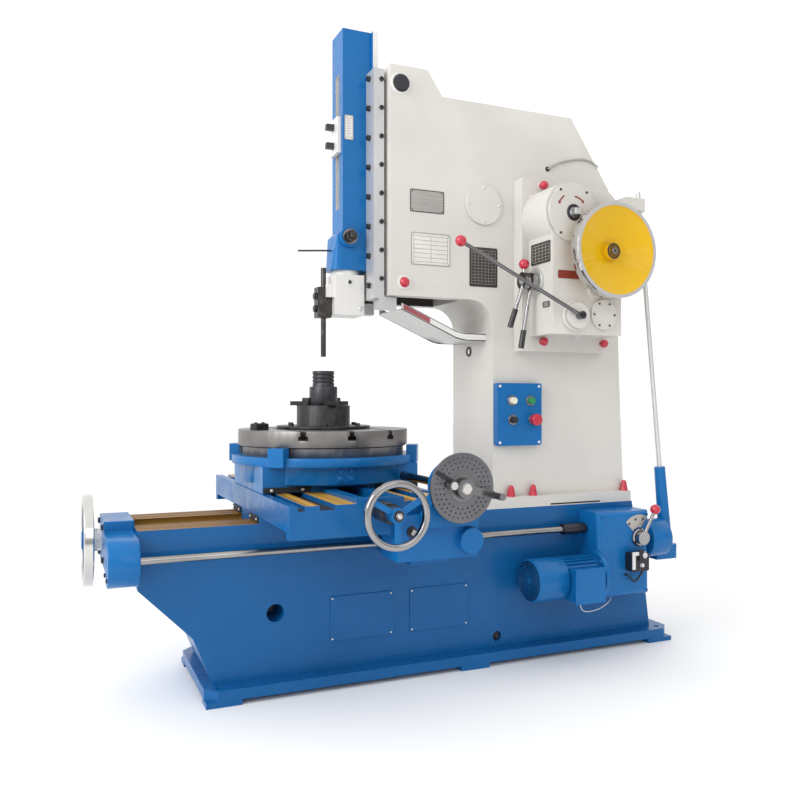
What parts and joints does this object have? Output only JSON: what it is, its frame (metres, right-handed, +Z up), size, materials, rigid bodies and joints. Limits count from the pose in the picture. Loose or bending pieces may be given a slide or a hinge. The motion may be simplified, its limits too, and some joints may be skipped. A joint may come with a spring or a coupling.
{
  "type": "vertical slotting machine",
  "caption": "Vertical slotting machine: overhanging column with tilting ram guide, tool ram, gearbox, bed with saddle, cross slide and rotary indexing table.",
  "frame": {"origin": "centre of the foundation bolt rectangle on the floor", "axes": "+Z up, +X along the bed from the work space toward the column, -Y the gearbox and lever side"},
  "size_m": [2.303, 1.324, 2.391],
  "materials": {
    "blue_paint": "painted, semi-gloss",
    "grey_paint": "painted, semi-gloss",
    "ground_steel": "ground",
    "ground_iron": "ground",
    "polished_steel": "polished",
    "black_steel": "blackened",
    "yellow_paint": "painted, semi-gloss",
    "red_plastic": "glossy",
    "green_plastic": "glossy",
    "black_plastic": "glossy",
    "belt_rubber": "matt",
    "bronze": "machined"
  },
  "bodies": {
    "frame": {"bed_casting": "blue_paint", "left_end_bracket": "blue_paint", "column_casting": "grey_paint", "drip_tray": "ground_steel", "gearbox_housing": "grey_paint", "gearbox_covers": "grey_paint", "access_covers": "blue_paint", "capped_bolts": "red_plastic", "tilt_pivot_pin": "red_plastic", "control_panel": "blue_paint", "main_motor": "blue_paint", "drive_belts": "belt_rubber", "feed_box": "blue_paint", "feed_motor": "blue_paint", "limit_switch": "black_plastic", "push_rod_guides": "blue_paint"},
    "main_drive": {"input_pinion_shaft": "ground_steel", "flywheel": "yellow_paint", "driven_pulley": "ground_iron"},
    "motor_drive": {"motor_pulley": "ground_iron"},
    "crank": {"crank_gear": "ground_steel", "crank_disc": "ground_steel"},
    "rocker": {"rocker_arm": "ground_iron"},
    "upper_selector": {"selector_lever_upper": "polished_steel"},
    "lower_selector": {"selector_lever_lower": "polished_steel"},
    "clutch": {"clutch_lever": "polished_steel"},
    "feed_shift": {"feed_shift_lever": "polished_steel"},
    "feed_fan": {"feed_motor_fan": "black_plastic"},
    "feed_line": {"feed_shaft": "polished_steel"},
    "push_rod": {"feed_push_rod": "polished_steel"},
    "green_push": {"green_button": "green_plastic"},
    "black_push": {"black_button": "black_plastic"},
    "stop_push": {"stop_button": "red_plastic"},
    "guide": {"ram_guide": "ground_iron", "keeper_strips": "ground_iron", "guide_bolts": "black_steel"},
    "ram_slide": {"ram": "blue_paint", "ram_clamp_plate": "black_steel", "tool_head": "blue_paint"},
    "ram_spindle": {"ram_screw": "ground_steel"},
    "ram_adjuster": {"ram_adjusting_shaft": "ground_steel"},
    "clapper": {"tool_holder": "black_steel"},
    "carriage": {"saddle": "blue_paint", "apron": "blue_paint", "index_plate": "ground_steel"},
    "long_drive": {"long_lead_screw": "ground_steel", "long_handwheel": "polished_steel"},
    "cross_carriage": {"cross_slide": "blue_paint"},
    "cross_drive": {"cross_lead_screw": "ground_steel", "cross_handwheel": "polished_steel"},
    "worm": {"table_worm": "ground_steel"},
    "index_drive": {"index_crank": "polished_steel"},
    "table": {"rotary_table": "ground_iron", "worm_wheel": "bronze", "chuck_body": "black_steel", "workpiece_sleeve": "ground_steel"},
    "jaw_one": {"chuck_jaw_1": "black_steel"},
    "jaw_two": {"chuck_jaw_2": "black_steel"},
    "jaw_three": {"chuck_jaw_3": "black_steel"}
  },
  "joints": [
    {"name": "main_drive_turn", "type": "hinge", "parent": "frame", "child": "main_drive", "pos_m": [0.50538, 0, 1.55766], "axis": [0, 1, 0], "continuous": true},
    {"name": "motor_turn", "type": "hinge", "parent": "frame", "child": "motor_drive", "pos_m": [0.48, 0, 0.76], "axis": [0, 1, 0], "continuous": true},
    {"name": "crank_turn", "type": "hinge", "parent": "frame", "child": "crank", "pos_m": [0.375, 0, 1.704], "axis": [0, 1, 0], "continuous": true},
    {"name": "rocker_swing", "type": "hinge", "parent": "frame", "child": "rocker", "pos_m": [0.116, 0, 1.757], "axis": [0, 1, 0], "range_deg": [-27, 18.6]},
    {"name": "upper_selector_swing", "type": "hinge", "parent": "frame", "child": "upper_selector", "pos_m": [0.29, -0.278, 1.455], "axis": [1, 0, 0], "range_deg": [-25, 15]},
    {"name": "lower_selector_swing", "type": "hinge", "parent": "frame", "child": "lower_selector", "pos_m": [0.29, -0.278, 1.455], "axis": [1, 0, 0], "range_deg": [-25, 15]},
    {"name": "clutch_swing", "type": "hinge", "parent": "frame", "child": "clutch", "pos_m": [0.387, -0.4, 1.317], "axis": [0, 1, 0], "range_deg": [-12, 12]},
    {"name": "feed_shift_swing", "type": "hinge", "parent": "frame", "child": "feed_shift", "pos_m": [0.735, -0.355, 0.455], "axis": [0, 1, 0], "range_deg": [-45, 15]},
    {"name": "feed_fan_turn", "type": "hinge", "parent": "frame", "child": "feed_fan", "pos_m": [0.3, -0.308, 0.32], "axis": [1, 0, 0], "continuous": true},
    {"name": "feed_line_turn", "type": "hinge", "parent": "frame", "child": "feed_line", "pos_m": [0, -0.245, 0.493], "axis": [1, 0, 0], "continuous": true},
    {"name": "push_rod_slide", "type": "slide", "parent": "frame", "child": "push_rod", "axis": [-0.0992, 0, 0.9951], "range_m": [-0.02, 0.03]},
    {"name": "green_press", "type": "slide", "parent": "frame", "child": "green_push", "axis": [0, 1, 0], "range_m": [0, 0.005], "stiffness_N_per_m": 600, "springref_m": -0.004},
    {"name": "black_press", "type": "slide", "parent": "frame", "child": "black_push", "axis": [0, 1, 0], "range_m": [0, 0.005], "stiffness_N_per_m": 600, "springref_m": -0.004},
    {"name": "stop_press", "type": "slide", "parent": "frame", "child": "stop_push", "axis": [0, 1, 0], "range_m": [0, 0.005], "stiffness_N_per_m": 800, "springref_m": -0.004},
    {"name": "guide_tilt", "type": "hinge", "parent": "frame", "child": "guide", "pos_m": [-0.216, 0, 1.439], "axis": [0, -1, 0], "range_deg": [0, 8]},
    {"name": "ram_stroke", "type": "slide", "parent": "guide", "child": "ram_slide", "axis": [0, 0, 1], "range_m": [-0.19, 0.13]},
    {"name": "ram_spindle_turn", "type": "hinge", "parent": "ram_slide", "child": "ram_spindle", "pos_m": [-0.39, 0, 1.9], "axis": [0, 0, 1], "continuous": true},
    {"name": "ram_adjuster_turn", "type": "hinge", "parent": "ram_slide", "child": "ram_adjuster", "pos_m": [-0.395, -0.06, 1.612], "axis": [0, 1, 0], "continuous": true},
    {"name": "clapper_swing", "type": "hinge", "parent": "ram_slide", "child": "clapper", "pos_m": [-0.4585, 0, 1.41], "axis": [0, 1, 0], "range_deg": [0, 4]},
    {"name": "saddle_travel", "type": "slide", "parent": "frame", "child": "carriage", "axis": [1, 0, 0], "range_m": [-0.36, 0.27]},
    {"name": "long_wheel_turn", "type": "hinge", "parent": "frame", "child": "long_drive", "pos_m": [-1.3, 0, 0.531], "axis": [1, 0, 0], "range_deg": [-16200, 12150]},
    {"name": "cross_travel", "type": "slide", "parent": "carriage", "child": "cross_carriage", "axis": [0, 1, 0], "range_m": [-0.28, 0.28]},
    {"name": "cross_wheel_turn", "type": "hinge", "parent": "carriage", "child": "cross_drive", "pos_m": [-0.476, -0.7, 0.658], "axis": [0, 1, 0], "range_deg": [-16800, 16800]},
    {"name": "table_turn", "type": "hinge", "parent": "cross_carriage", "child": "table", "pos_m": [-0.476, 0, 0.85], "axis": [0, 0, 1], "continuous": true},
    {"name": "worm_turn", "type": "hinge", "parent": "cross_carriage", "child": "worm", "pos_m": [-0.243, 0, 0.728], "axis": [0, 1, 0], "continuous": true},
    {"name": "index_turn", "type": "hinge", "parent": "carriage", "child": "index_drive", "pos_m": [-0.243, -0.69, 0.728], "axis": [0, 1, 0], "continuous": true},
    {"name": "jaw_one_slide", "type": "slide", "parent": "table", "child": "jaw_one", "axis": [0, -1, 0], "range_m": [0, 0.025]},
    {"name": "jaw_two_slide", "type": "slide", "parent": "table", "child": "jaw_two", "axis": [0.866, 0.5, 0], "range_m": [0, 0.025]},
    {"name": "jaw_three_slide", "type": "slide", "parent": "table", "child": "jaw_three", "axis": [-0.866, 0.5, 0], "range_m": [0, 0.025]}
  ],
  "couplings": [
    {"joint": "motor_turn", "follows": "main_drive_turn", "ratio": 2.5},
    {"joint": "crank_turn", "follows": "main_drive_turn", "ratio": -0.20988},
    {"joint": "rocker_swing", "follows": "ram_stroke", "rad_per_m": 2.46},
    {"joint": "feed_line_turn", "follows": "feed_fan_turn", "ratio": 0.05},
    {"joint": "ram_spindle_turn", "follows": "ram_adjuster_turn", "ratio": 1},
    {"joint": "saddle_travel", "follows": "long_wheel_turn", "m_per_rad": 0.0012732},
    {"joint": "cross_travel", "follows": "cross_wheel_turn", "m_per_rad": 0.00095493},
    {"joint": "worm_turn", "follows": "table_turn", "ratio": 90},
    {"joint": "index_turn", "follows": "table_turn", "ratio": 90},
    {"joint": "jaw_two_slide", "follows": "jaw_one_slide", "ratio": 1},
    {"joint": "jaw_three_slide", "follows": "jaw_one_slide", "ratio": 1}
  ]
}
